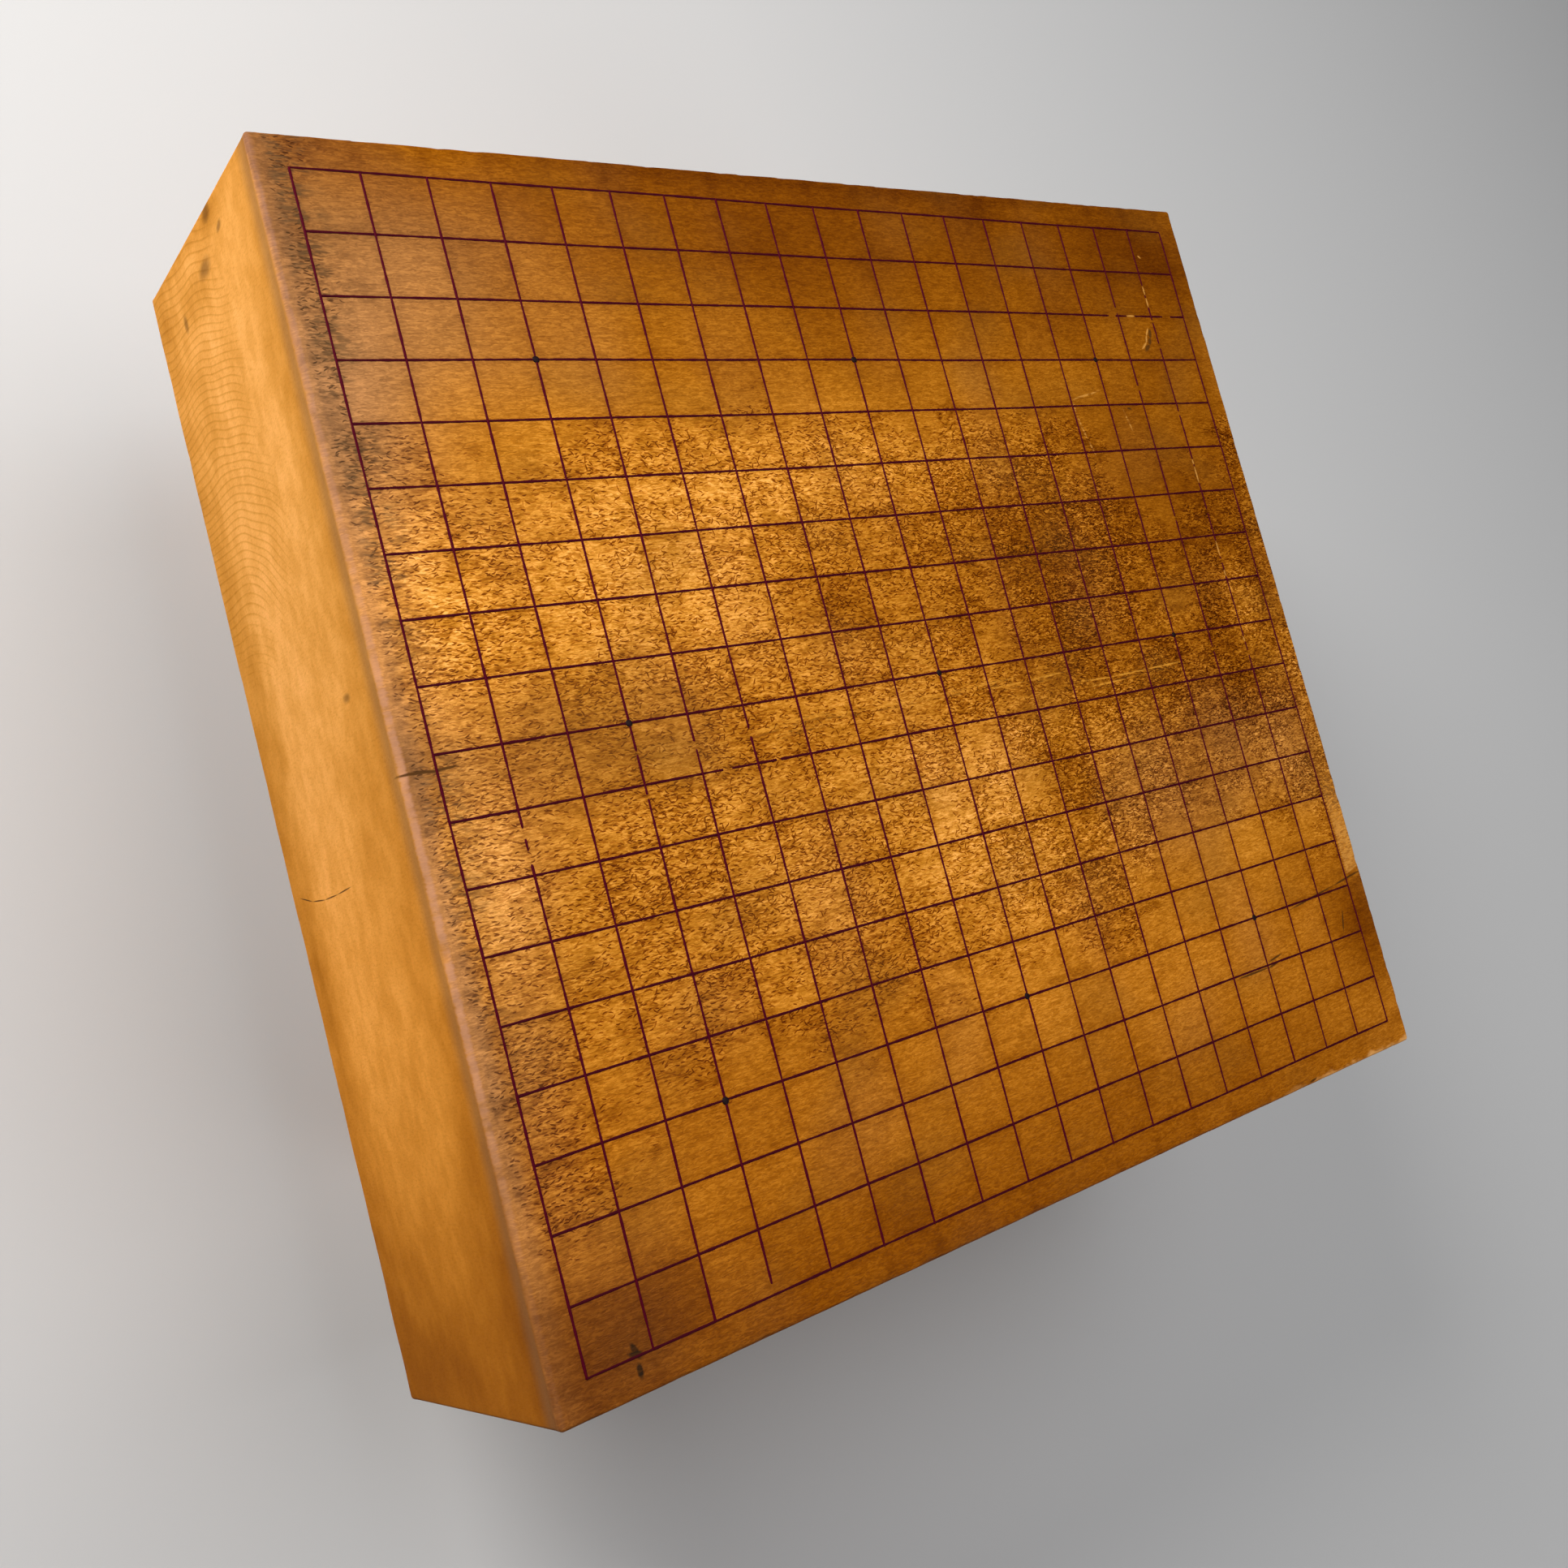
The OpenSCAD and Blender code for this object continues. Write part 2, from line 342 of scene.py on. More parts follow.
# Ends: lighter than the face, with painted shade that darkens them towards the front and along their
# top and bottom edges, and with small stains.
front_shade = eased(at_y, -90, -215)
end_light = 0.83 * (1 - 0.48 * front_shade) + 0.02 * drift(30) + patches([
    (14, under_mm + 44, 200, 36, 0.10), (126, under_mm + 88, 80, 22, 0.06),
    (-8, under_mm + 93, 28, 16, -0.10), (-20, under_mm + 80, 20, 9, -0.06),
    (-64, under_mm + 96, 35, 14, -0.06), (-120, under_mm + 104, 30, 12, -0.08),
    (-151, under_mm + 93, 30, 16, -0.07), (-193, under_mm + 41, 25, 45, -0.08),
    (-162, under_mm + 33, 25, 14, -0.07), (-64, under_mm + 10, 45, 8, -0.14),
    (28, under_mm + 24, 18, 9, -0.10), (59, under_mm + 19, 16, 9, -0.10),
    (154, under_mm + 33, 38, 14, -0.06), (188, under_mm + 46, 14, 25, -0.12),
    (204, under_mm + 77, 8, 14, -0.2), (193, under_mm + 8, 30, 12, -0.12),
    (208, under_mm + 60, 6, 90, -0.14), (0, under_mm + 2, 300, 34, -0.17),
    (-40, top_mm, 260, 36, -0.17), (-150, top_mm, 90, 44, -0.10), (150, top_mm, 130, 40, -0.14),
], 1, 2)
below_arris = eased(at_z, top_mm - 0.3, top_mm - 2.0)
on_ends = eased(abs(at_x), edge_x - 3.0, edge_x - 0.8) * below_arris
light += (end_light - light) * on_ends

# Bruises: across the middle rows and down the left strip, fewer in two places at the right.
bruised = eased(at_y, -165, -75) * eased(at_y, 125, 88)
left_strip = eased(at_x, -180, -200) * eased(at_y, -185, -140)
left_margin = eased(at_x, -206, -212) * eased(at_y, -70, 20)
bruised = np.maximum(bruised, left_strip * (1 - 0.75 * eased(at_y, 60, 110)))
bruised = np.maximum(bruised, left_margin)
bruised *= eased(at_x, 2 - edge_x, 6 - edge_x)
bruised += 0.08 * drift(45) + patches([
    (160, 85, 70, 55, -0.8), (150, -95, 80, 60, -0.7), (-170, 100, 40, 40, -0.5),
])
grimy = 0.2 * np.clip(drift(40) - 0.2, 0, 2) + patches([
    (-150, -2, 62, 34, 0.6), (-205, 150, 30, 60, 0.3),
])
# Greyish patches, most of all in the rear left corner: partly dry dust and partly a painted sheen of
# reflected light.
dust_and_sheen_field = 0.04 * drift(60) + patches([
    (-235, 150, 90, 120, 0.70), (-225, 60, 40, 130, 0.25), (-215, -80, 40, 110, 0.25),
    (-225, -190, 80, 60, 0.2), (150, -60, 110, 45, 0.25), (90, -200, 160, 30, -0.1),
    (-155, 155, 70, 60, 0.25), (-185, 0, 60, 45, 0.14),
])
gathered = np.clip([bruised, grimy, dust_and_sheen_field], 0, 1)
wear_and_painted_light = np.stack([np.maximum(light, 0.12), *gathered], axis=-1)
kept_wear_and_painted_light = block.data.attributes.new("wear_and_painted_light", "FLOAT_COLOR", "POINT")
kept_wear_and_painted_light.data.foreach_set("color", wear_and_painted_light.astype(np.float32).ravel())

wood = Finish("old amber wood")
at = wood.at
x, y, z = wood.parts(at)
on_face = wood.ramp(z, top_mm - 2.4, top_mm - 0.8)
from_middle = wood.maths("ABSOLUTE", x)
on_end = wood.ramp(from_middle, edge_x - 2.0, edge_x - 0.8)
fibre = wood.noise(at, (40, 1.0, 1.6), 1, 0.6)
flame = wood.noise(at, (260, 9, 12), 1, 0.55)
mottle = wood.noise(at, (24, 15, 15), 1, 0.6)
fleck = wood.noise(at, (3, 0.8, 2.2), 0, 0.6)

# Sides and underside: long grain with a broad flame figure.
grain = wood.ramp(fibre, 0.3, 0.72, 0.87, 1.08)
side_tone = wood.times(wood.ramp(flame, 0.35, 0.7, 0.62, 0.46), grain)

# Ends: stained end grain with growth rings round a pith low in the block, clear in the rear half.
lightness, bruises, grime = wood.parts(wood.lay("Attribute", {}, "Color", attribute_name="wear_and_painted_light"))
dust_and_sheen = wood.lay("Attribute", {}, "Alpha", attribute_name="wear_and_painted_light")
pith = (0, 5, under_mm + 5)
ring_gap = 3.0
off_pith = wood.vector("MULTIPLY", wood.vector("SUBTRACT", at, pith), (0, 1, 1))
swirl = wood.noise(at, (900, 40, 40), 1, 0.5)
ring_at = wood.maths("MULTIPLY_ADD", swirl, 12.0, wood.vector("LENGTH", off_pith))
ring = wood.maths("FRACT", wood.maths("DIVIDE", ring_at, ring_gap))
ring = wood.times(
    wood.ramp(ring, 0.6, 0.92),
    wood.ramp(ring, 0.92, 1.0, 1.0, 0.0),
    wood.ramp(wood.maths("MULTIPLY_ADD", mottle, 70.0, y), 75.0, 130.0),
    wood.ramp(wood.maths("MULTIPLY_ADD", mottle, 40.0, z), under_mm + 112, under_mm + 80),
)
stain = wood.noise(at, (900, 13, 7), 3, 0.65)
end_tone = wood.times(
    lightness,
    wood.ramp(stain, 0.3, 0.68, 1.05, 0.90),
    wood.ramp(ring, 0.0, 1.0, 1.0, 0.84),
    wood.ramp(fleck, 0.5, 0.8, 1.0, 0.93),
)

# Playing face: each square has a shade of its own, because the raised lines keep the wear
# apart, and dirt has gathered along the lines.
pitch_x, pitch_y = 23.7, 22.0
grid_x, grid_y = 9 * pitch_x, 9 * pitch_y
half_cell = (0.5, 0.5, 0)
square = wood.vector("ADD", at, (grid_x, grid_y, 0))
square = wood.vector("DIVIDE", square, (pitch_x, pitch_y, 1e6))
number = wood.vector("FLOOR", square)
chosen = wood.lay("TexWhiteNoise", {"Vector": number}, "Value", noise_dimensions="2D")
inside = wood.vector("SUBTRACT", wood.vector("FRACTION", square), half_cell)
inside = wood.vector("SUBTRACT", half_cell, wood.vector("ABSOLUTE", inside))
in_x, in_y, _ = wood.parts(wood.vector("MULTIPLY", inside, (pitch_x, pitch_y, 0)))
from_line = wood.maths("MINIMUM", in_x, in_y)
chosen = wood.times(
    wood.maths("SUBTRACT", chosen, 0.5),
    wood.ramp(from_middle, grid_x + 0.5, grid_x - 0.3),
    wood.ramp(wood.maths("ABSOLUTE", y), grid_y + 0.6, grid_y - 0.2),
)
dirt = wood.maths("MULTIPLY_ADD", mottle, 9.0, from_line)
face_tone = wood.times(
    wood.maths("MULTIPLY_ADD", chosen, -0.05, lightness),
    wood.ramp(dirt, 3.0, 9.0, 0.84, 1.02),
    wood.ramp(fibre, 0.3, 0.72, 0.955, 1.03),
    wood.ramp(fleck, 0.3, 0.7, 0.90, 1.07),
)

# Stones have left short bruises, most of them along the grain and some across it. The kinds of
# stroke are (cell, seed, length, width, lean, how thick they lie).
clump = wood.ramp(wood.noise(at, (14, 10, 50), 1, 0.5), 0.3, 0.7, -0.25, 0.25)
uneven = wood.maths("MULTIPLY_ADD", chosen, 0.5, clump)
density = wood.maths("MULTIPLY_ADD", uneven, wood.ramp(bruises, 0.0, 0.5), bruises)
crossing = wood.times(density, wood.ramp(x, -200, -120, 0.3, 0.75))
rightward = wood.ramp(x, -30, 110)
crinkle = wood.noise(at, (2.6, 0.6, 50), 1, 0.5, 0.4)
crinkle = wood.ramp(wood.maths("MULTIPLY_ADD", density, 0.07, crinkle), 0.52, 0.70)
relief = wood.times(crinkle, on_face, wood.ramp(x, 5 - edge_x, 14 - edge_x))
crinkle = wood.times(crinkle, wood.ramp(density, 0.0, 0.8, 0.16, 0.5))
stroke_kinds = [
    (3.5, 3.1, 0.52, 0.105, 3.1, crossing), (2.8, 41.7, 0.54, 0.12, 1.2, density),
    (3.1, 77.3, 0.52, 0.115, 2.2, crossing), (2.4, 113.9, 0.5, 0.14, 0.9, density),
]
stroke = 0.0
for kind in stroke_kinds:
    stroke = wood.maths("MAXIMUM", stroke, wood.strokes(at, *kind))
stroke = wood.times(stroke, wood.ramp(rightward, 0.0, 1.0, 1.0, 0.92))
dent = wood.maths("MAXIMUM", stroke, crinkle)
worn_share = wood.times(density, wood.ramp(rightward, 0.0, 1.0, 0.32, 1.0))
worn = wood.ramp(wood.noise(at, (3.2, 1.1, 50), 2, 0.6, 1.6), 0.40, 0.62, -0.44, 0.55)
worn = wood.times(worn, wood.maths("MAXIMUM", worn_share, 0.31))
smudge = wood.ramp(wood.noise(at, (9, 4, 50), 2, 0.6), 0.42, 0.66)
smudge = wood.times(smudge, wood.ramp(density, 0.0, 0.6, 0.35, 1.0))
between_dents = wood.ramp(density, 0.0, 1.0, 1.15, 1.23)
in_dents = wood.ramp(density, 0.1, 1.1, 0.48, 0.33)
face_tone = wood.times(
    face_tone,
    wood.maths("ADD", worn, 1.0),
    wood.ramp(smudge, 0.0, 1.0, 1.0, 0.76),
    wood.ramp(dent, 0.0, 1.0, between_dents, in_dents),
)

# Colour: the tone is the red, and green and blue are shares of its powers, so that darker wood is
# redder. The shares grow towards the rear, which paints a paler sheen there, and bruises have less
# green.
tone = wood.blend(on_end, side_tone, end_tone)
tone = wood.blend(on_face, tone, face_tone)
rear_sheen = wood.ramp(y, -160, 130)
green_share = wood.blend(on_end, 0.45, wood.ramp(rear_sheen, 0.0, 1.0, 0.415, 0.475))
green_share = wood.blend(on_face, green_share, wood.ramp(y, -150, -50, 0.425, 0.455))
blue_share = wood.ramp(rear_sheen, 0.0, 1.0, 0.075, 0.138)
blue_share = wood.blend(on_face, blue_share, wood.ramp(y, -130, -50, 0.080, 0.096))
in_bruise = wood.ramp(wood.times(dent, on_face), 0.0, 1.0, 1.0, 0.86)
green = wood.times(wood.maths("POWER", tone, 1.32), green_share, in_bruise)
blue = wood.times(wood.maths("POWER", tone, 3.0), blue_share)
colour = wood.lay("CombineColor", {0: tone, 1: green, 2: blue})
toned = wood.join(tone, tone, tone)

# Grime from hands lies in soft olive patches, darkest between lines 9 and 11 on the left. The wood is
# greyish in the rear left corner and down the left, partly from dry dust and partly from a painted
# sheen of reflected light.
olive, dry_and_sheen_tint = (0.17, 0.072, 0.011, 1), (0.82, 0.38, 0.145)
colour = wood.mix(wood.times(grime, on_face, 0.5), colour, olive)
dry_and_sheened = wood.vector("MULTIPLY", toned, dry_and_sheen_tint)
colour = wood.mix(wood.times(dust_and_sheen, on_face), colour, dry_and_sheened)

# The left edge is rubbed to bare pinkish wood with a painted shadow below it on the end, and its arris
# carries a pale line that is partly rubbed wood and partly a painted highlight. Hands have left black
# smudges in the margin beside it, fewer in its middle.
hand_black, edge_shade = (0.10, 0.052, 0.02, 1), (0.24, 0.125, 0.055, 1)
bare_wood = (0.98, 0.455, 0.175)
rubbed_front_highlight, rubbed_rear = (0.52, 0.25, 0.14, 1), (0.33, 0.155, 0.10, 1)
from_edge = wood.maths("ADD", x, edge_x)
down = wood.maths("SUBTRACT", top_mm, z)
cleaner = wood.times(wood.ramp(y, -6, 6), wood.ramp(y, 55, 30))
black = wood.noise(at, (13, 8, 50), 2, 0.65)
black = wood.times(
    wood.ramp(wood.maths("MULTIPLY_ADD", crinkle, 0.18, black), 0.44, 0.6),
    on_face,
    wood.ramp(from_edge, 3, 7),
    wood.ramp(from_edge, 26, 11),
    wood.ramp(y, -180, 40, 0.0, 0.72),
    wood.ramp(fleck, 0.35, 0.6, 1.0, 0.35),
    wood.ramp(cleaner, 0.0, 1.0, 1.0, 0.35),
)
colour = wood.mix(black, colour, hand_black)
bare = wood.times(
    wood.ramp(wood.maths("MULTIPLY_ADD", mottle, 6.0, from_edge), 6.0, 14.0, 1.0, 0.0),
    on_face,
    wood.ramp(y, -215, -90, 0.1, 0.6),
    wood.ramp(y, -20, 60, 1.0, 0.6),
)
colour = wood.mix(bare, colour, wood.vector("MULTIPLY", toned, bare_wood))
shadow = wood.times(
    wood.ramp(down, 0.8, 3.0),
    wood.ramp(down, 13.0, 4.0),
    wood.ramp(from_edge, 3.0, 1.0, 0.0, 0.5),
)
colour = wood.mix(shadow, colour, edge_shade)
# A pale line along the arris, partly rubbed wood and partly a painted highlight, turning dark brown
# towards the rear.
off_arris = wood.maths("ABSOLUTE", wood.maths("SUBTRACT", from_edge, down))
rubbed_and_highlit = wood.times(
    wood.ramp(wood.maths("MULTIPLY_ADD", fleck, 1.4, off_arris), 1.6, 3.4, 1.0, 0.0),
    wood.ramp(wood.maths("ADD", from_edge, down), 5.5, 3.5),
    wood.ramp(wood.noise(at, (50, 5, 50), 2, 0.6), 0.34, 0.52, 0.35, 1.0),
    wood.ramp(y, -180, -80, 0.08, 0.7),
    wood.ramp(y, 10, 60, 1.0, 0.6),
)
rub_and_highlight_colour = wood.mix(wood.ramp(y, 60, 150), rubbed_front_highlight, rubbed_rear)
colour = wood.mix(rubbed_and_highlit, colour, rub_and_highlight_colour)

# The right margin is worn to golden wood behind a check, and the front edge near the right corner
# is rubbed pale, in broken patches.
golden_wood, pale_wood = (0.68, 0.30, 0.055, 1), (0.80, 0.40, 0.12, 1)
golden = wood.times(
    wood.ramp(wood.maths("MULTIPLY_ADD", x, -0.25, y), -180.8, -180.2),
    wood.ramp(y, -66, -112),
    wood.ramp(x, grid_x + 0.5, grid_x + 2.7),
    wood.ramp(fleck, 0.35, 0.6, 0.4, 0.75),
)
colour = wood.mix(golden, colour, golden_wood)
from_front = wood.maths("ADD", y, 1000 * half_y)
pale_edge = wood.maths("MULTIPLY_ADD", wood.noise(at, (9, 7, 50), 2, 0.6), 9.0, from_front)
pale_edge = wood.times(
    wood.ramp(pale_edge, 4.2, 7.0, 1.0, 0.0),
    on_face,
    wood.ramp(x, 110, 185, 0.0, 0.75),
)
colour = wood.mix(pale_edge, colour, pale_wood)

# Marks of its own: golden streaks along the grain with furrows beside them, scratches and a gouge
# at the right, bare wood in the gaps of line 18, dark checks in both margins and near the front,
# a blot near the front left corner, and a check and pits on the left end.
streak_gold, furrow_brown = (0.68, 0.29, 0.03, 1), (0.16, 0.062, 0.008, 1)
scratch_pale, check_brown = (0.66, 0.31, 0.06, 1), (0.07, 0.026, 0.005, 1)
blot_black = (0.025, 0.012, 0.005, 1)
streaks = [
    ((74, -13.4), (95, -13.9), (118, -13.3), (142, -12.6)), ((23, -10), (45, -9.4), (68, -8.2)),
    ((78, -16.6), (104, -15.8)), ((-98, -11.5), (-80, -9.5), (-60, -7.8)), ((-86, -13.5), (-58, -10.8)),
    ((-72, -8.2), (-40, -9.6), (-12, -8.6)), ((-12, -8.6), (15, -8.2), (40, -7.0)),
]
pale_lines = [
    ((119.7, 111), (119.7, 105.6), (122.4, 93.3), (124.7, 86.7)), ((119.7, 111.7), (138.7, 116.7)),
    ((151.4, 106.7), (153.7, 96.7)),
]
fresh_wood = [
    ((184.7, 147.9), (182.2, 144.2), (180.9, 140.8)), ((180.9, 140.8), (176.8, 137.5)),
    ((189.6, 169.3), (189.6, 165)), ((189.6, 163.3), (189.6, 158.8)),
    ((189.6, 81.7), (189.6, 79.6)), ((189.6, 78.3), (189.6, 70.4)),
    ((189.6, 41.2), (189.6, 33.8)), ((189.6, 26.7), (189.6, 24.2)),
    ((189.6, -6.3), (189.6, -8.3)), ((172.2, 154), (177.6, 154)), ((192.5, 185), (194, 184)),
]
dark_lines = [
    ((121, -155), (142.4, -155)), ((142, -155.3), (151.5, -153.8)),
    ((143.5, -152.7), (153.5, -151.2)), ((148.5, -208.8), (153, -208.4)),
    ((167, -134), (202.2, -130), (226, -127)), ((200.5, -151.7), (204, -142)),
    ((-227, -4.6), (-214, -5.2)), ((-222, -4.4), (-211, -5.6)), ((-215, -5.2), (-206, -4.6)),
    ((154.5, 108.3), (157, 107.8)),
]
gouge_lines = [
    ((186, 147.6), (184.4, 143), (182.6, 139.6)), ((182.6, 139.6), (178.6, 136.6)),
]
blot_lines = [
    ((-198, -196.5), (-193, -198)), ((-196.5, -193.5), (-194.5, -199)),
    ((-195.5, -200), (-195.5, -205)),
]
end_lines = [
    ((-25.5, under_mm + 8), (-28.6, under_mm + 20), (-30, under_mm + 33)),
    ((-30, under_mm + 33), (-30.2, under_mm + 46), (-29.8, under_mm + 60)),
]
end_pits = [(207, 75, 4, 6), (197, 84, 2, 4), (186, 31, 5, 3), (193, 62, 4, 9), (27, 96, 2.2, 4.5)]
wander = wood.maths("MULTIPLY_ADD", mottle, 5.0, -2.5)
bent = wood.vector("ADD", at, wood.join(0.0, wander, 0.0))
scratch = wood.marks(bent, pale_lines, 0.65, top_mm)
scratch = wood.times(scratch, wood.ramp(fleck, 0.36, 0.54, 0.1, 0.8))
pale_mark = wood.maths("MAXIMUM", scratch, wood.marks(at, fresh_wood, 0.6, top_mm))
gouge = wood.times(wood.marks(at, gouge_lines, 1.3, top_mm), 0.9)
end_check = wood.marks(wood.join(y, z, x), end_lines, 0.3, -edge_x)
dark_mark = wood.maths("MAXIMUM", wood.marks(at, dark_lines, 0.6, top_mm), gouge)
dark_mark = wood.maths("MAXIMUM", dark_mark, end_check)
for pit_y, pit_z, reach_y, reach_z in end_pits:
    middle = (-edge_x, pit_y, under_mm + pit_z)
    pit = {"Vector": bent, "Location": middle, "Scale": (9, reach_y, reach_z)}
    pit = wood.vector("LENGTH", wood.lay("Mapping", pit, vector_type="TEXTURE"))
    dark_mark = wood.maths("MAXIMUM", dark_mark, wood.ramp(pit, 0.2, 1.0, 0.6, 0.0))
streak_mark = wood.times(
    wood.marks(at, streaks, 0.55, top_mm),
    wood.ramp(fleck, 0.3, 0.55, 0.25, 0.75),
    wood.ramp(x, -20, 60, 0.55, 1.0),
)
furrow = wood.marks(wood.vector("ADD", at, (0, 1.4, 0)), streaks, 0.6, top_mm)
furrow = wood.times(furrow, wood.ramp(fleck, 0.3, 0.55, 0.5, 0.15))
blot = wood.marks(at, blot_lines, 1.3, top_mm)
blot = wood.times(blot, wood.ramp(fleck, 0.3, 0.6, 1.0, 0.8))
colour = wood.mix(furrow, colour, furrow_brown)
colour = wood.mix(streak_mark, colour, streak_gold)
colour = wood.mix(wood.times(pale_mark, 0.7), colour, scratch_pale)
colour = wood.mix(wood.times(dark_mark, 0.92), colour, check_brown)
colour = wood.mix(blot, colour, blot_black)
wood.feed(wood.shader.inputs["Base Color"], colour)

height = wood.maths("MULTIPLY_ADD", relief, -0.1, wood.times(fibre, 0.12))
bump = wood.lay("Bump", {"Strength": 0.7, "Distance": 0.001, "Height": height})
wood.feed(wood.shader.inputs["Normal"], bump)
wood.feed(wood.shader.inputs["Roughness"], wood.ramp(on_face, 0.0, 1.0, 0.66, 0.38))
wood.shader.inputs["Specular IOR Level"].default_value = 0.025
block.data.materials.clear()
block.data.materials.append(wood.material)
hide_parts("board_block")
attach(block, "board")

# Each leg is turned and carved from one piece of wood with the grain upright: a belly with
# eight sharp ribs, a waist, a spread foot and a square tenon that stands in the block.
leg_h, belly_z, ankle_z = 0.106, 0.070, 0.024
neck_r, belly_r, ankle_r, foot_r = 0.035, 0.045, 0.025, 0.032
rib_count, rib_depth = 8, 0.005
tenon_half, tenon_l = 0.015, 0.034
eased_off = 0.0006


def leg_radius(height):
    """The profile over the ribs: a flare from foot to ankle, then smooth steps to belly and neck."""
    flare = ankle_r + (foot_r - ankle_r) * np.clip(1 - height / ankle_z, 0, 1) ** 2
    rise = (1 - np.cos(np.pi * np.clip((height - ankle_z) / (belly_z - ankle_z), 0, 1))) / 2
    fall = (1 - np.cos(np.pi * np.clip((height - belly_z) / (leg_h - belly_z), 0, 1))) / 2
    return flare + (belly_r - ankle_r) * rise + (neck_r - belly_r) * fall


around = np.linspace(0, 2 * np.pi, 192, endpoint=False)
circle = np.stack([np.cos(around), np.sin(around)], axis=-1)
hollow = 1 - rib_depth / belly_r * abs(np.sin(rib_count * around / 2))
carved_z = np.linspace(0, leg_h, 90)
carved_r = leg_radius(carved_z)
carved_r[[0, -1]] -= eased_off
carved = circle * (carved_r[:, None] * hollow)[..., None]
to_square = 1 / np.maximum(abs(np.cos(around)), abs(np.sin(around)))
tenon = circle * to_square[:, None] * tenon_half
shoulder = carved[-1] + (tenon - carved[-1]) * np.array([0.35, 0.7, 0.97])[:, None, None]
tenon_rows = tenon * np.array([1, 1, 1, 1, 0.93, 0.5])[:, None, None]
tenon_z = leg_h + np.array([0.0, 0.011, 0.022, 0.033, tenon_l, tenon_l])
sole = carved[0] * np.array([0.4, 0.8, 0.97])[:, None, None]
leg_rows = np.concatenate([
    level(tenon_rows[::-1], tenon_z[::-1, None]),
    level(shoulder[::-1], leg_h),
    level(carved[::-1], carved_z[::-1, None]),
    level(sole[::-1], 0.0),
])

leg_wood = Finish("carved leg wood")
dark_fibre, light_fibre = (0.30, 0.105, 0.012, 1), (0.50, 0.19, 0.026, 1)
leg_shade = (0.24, 0.085, 0.01, 1)
streak = leg_wood.noise(leg_wood.at, (1.6, 1.6, 50), 4, 0.6)
shade = leg_wood.noise(leg_wood.at, (14, 14, 40), 3, 0.6)
leg_colour = leg_wood.mix(leg_wood.ramp(streak, 0.3, 0.7), dark_fibre, light_fibre)
leg_colour = leg_wood.mix(leg_wood.ramp(shade, 0.4, 0.7, 0.0, 0.5), leg_colour, leg_shade)
leg_wood.feed(leg_wood.shader.inputs["Base Color"], leg_colour)
leg_bump = leg_wood.lay("Bump", {"Strength": 0.5, "Distance": 0.0005, "Height": streak})
leg_wood.feed(leg_wood.shader.inputs["Normal"], leg_bump)
leg_wood.shader.inputs["Roughness"].default_value = 0.42
leg_wood.shader.inputs["Specular IOR Level"].default_value = 0.35

leg_names = ["front_left", "front_right", "rear_left", "rear_right"]
for spot, name in zip(leg_spots, leg_names):
    shift = np.array([spot[0], spot[1], 0])
    leg_tips = np.array([[[0, 0, leg_h + tenon_l], [0, 0, 0]]]) + shift
    leg = closed_skins("carved_leg_" + name, leg_rows[None] + shift, leg_tips)
    leg.data.set_sharp_from_angle(angle=np.radians(35))
    leg.data.materials.append(leg_wood.material)
    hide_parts("leg_" + name)
    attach(leg, name + "_leg")

# The lines are drawn with thick dark lacquer that stands up as a bead. The nineteen along
# the grain come first, and the nineteen across it are laid over them. Play has worn gaps.
line_count = 19
line_x = (np.arange(line_count) - 9) * 0.001 * pitch_x
line_y = (np.arange(line_count) - 9) * 0.001 * pitch_y
line_half = 0.00050
tip_run, gap_slope, gap_depth = 0.0008, 0.0012, 0.0006


def drawn_lines(places, half_length, rise, gaps):
    """Beads of lacquer at the given places, run along t.

    The section is a six-point dome. Width, height and place waver by seeded ripples, the ends
    taper, and a gap, given as (line, from, to) in metres, sinks the bead into the wood.
    """
    t = np.linspace(-half_length, half_length, 500)
    run = t + np.arange(line_count)[:, None] * 7.3
    wide = line_half * (1 + ripple(run, [0.061, 0.023, 0.0091, 0.0052], 0.3))
    high = rise * (1 + ripple(run, [0.047, 0.017, 0.0063], 0.5))
    sway = ripple(run, [0.9, 0.37, 0.13], 0.0003)
    taper = np.sqrt(np.clip((half_length - abs(t)) / tip_run, 0.04, 1))
    sink = np.zeros_like(run)
    for line, start, end in gaps:
        inside = np.clip(np.minimum(t - start, end - t) / gap_slope + 0.5, 0, 1)
        sink[line] = np.maximum(sink[line], inside)
    dome_across = np.array([-1.0, -0.8, -0.35, 0.35, 0.8, 1.0])
    dome_up = np.array([-0.5, 0.45, 0.95, 0.95, 0.45, -0.5])
    across = (places[:, None] + sway)[..., None] + (wide * taper)[..., None] * dome_across
    up = face_z + (high * taper)[..., None] * dome_up - gap_depth * sink[..., None]
    along = np.broadcast_to(t[:, None], across.shape)
    return along, across, up


def laid_lines(name, rings, colour):
    """Closes the beads into one piece and gives them lacquer of the colour."""
    lacquer = Finish(name)
    lacquer.shader.inputs["Base Color"].default_value = colour
    lacquer.shader.inputs["Roughness"].default_value = 0.55
    lacquer.shader.inputs["Specular IOR Level"].default_value = 0.04
    made = closed_skins(name, rings, rings[:, [0, -1]].mean(axis=2))
    made.data.materials.append(lacquer.material)
    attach(made, "board")
    return made


length_gaps = [
    (16, 0.160, 0.164), (16, 0.1725, 0.1775), (16, 0.198, 0.203),
    (8, -0.1095, -0.1064), (8, -0.0862, -0.0853),
]
along, across, up = drawn_lines(line_y, 0.2137, 0.00015, length_gaps)
length_rings = np.stack([along, across, up], axis=-1)
lengthwise = laid_lines("drawn_lines_lengthwise", length_rings, (0.045, 0.0012, 0.006, 1))
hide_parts("lengthwise_lines")

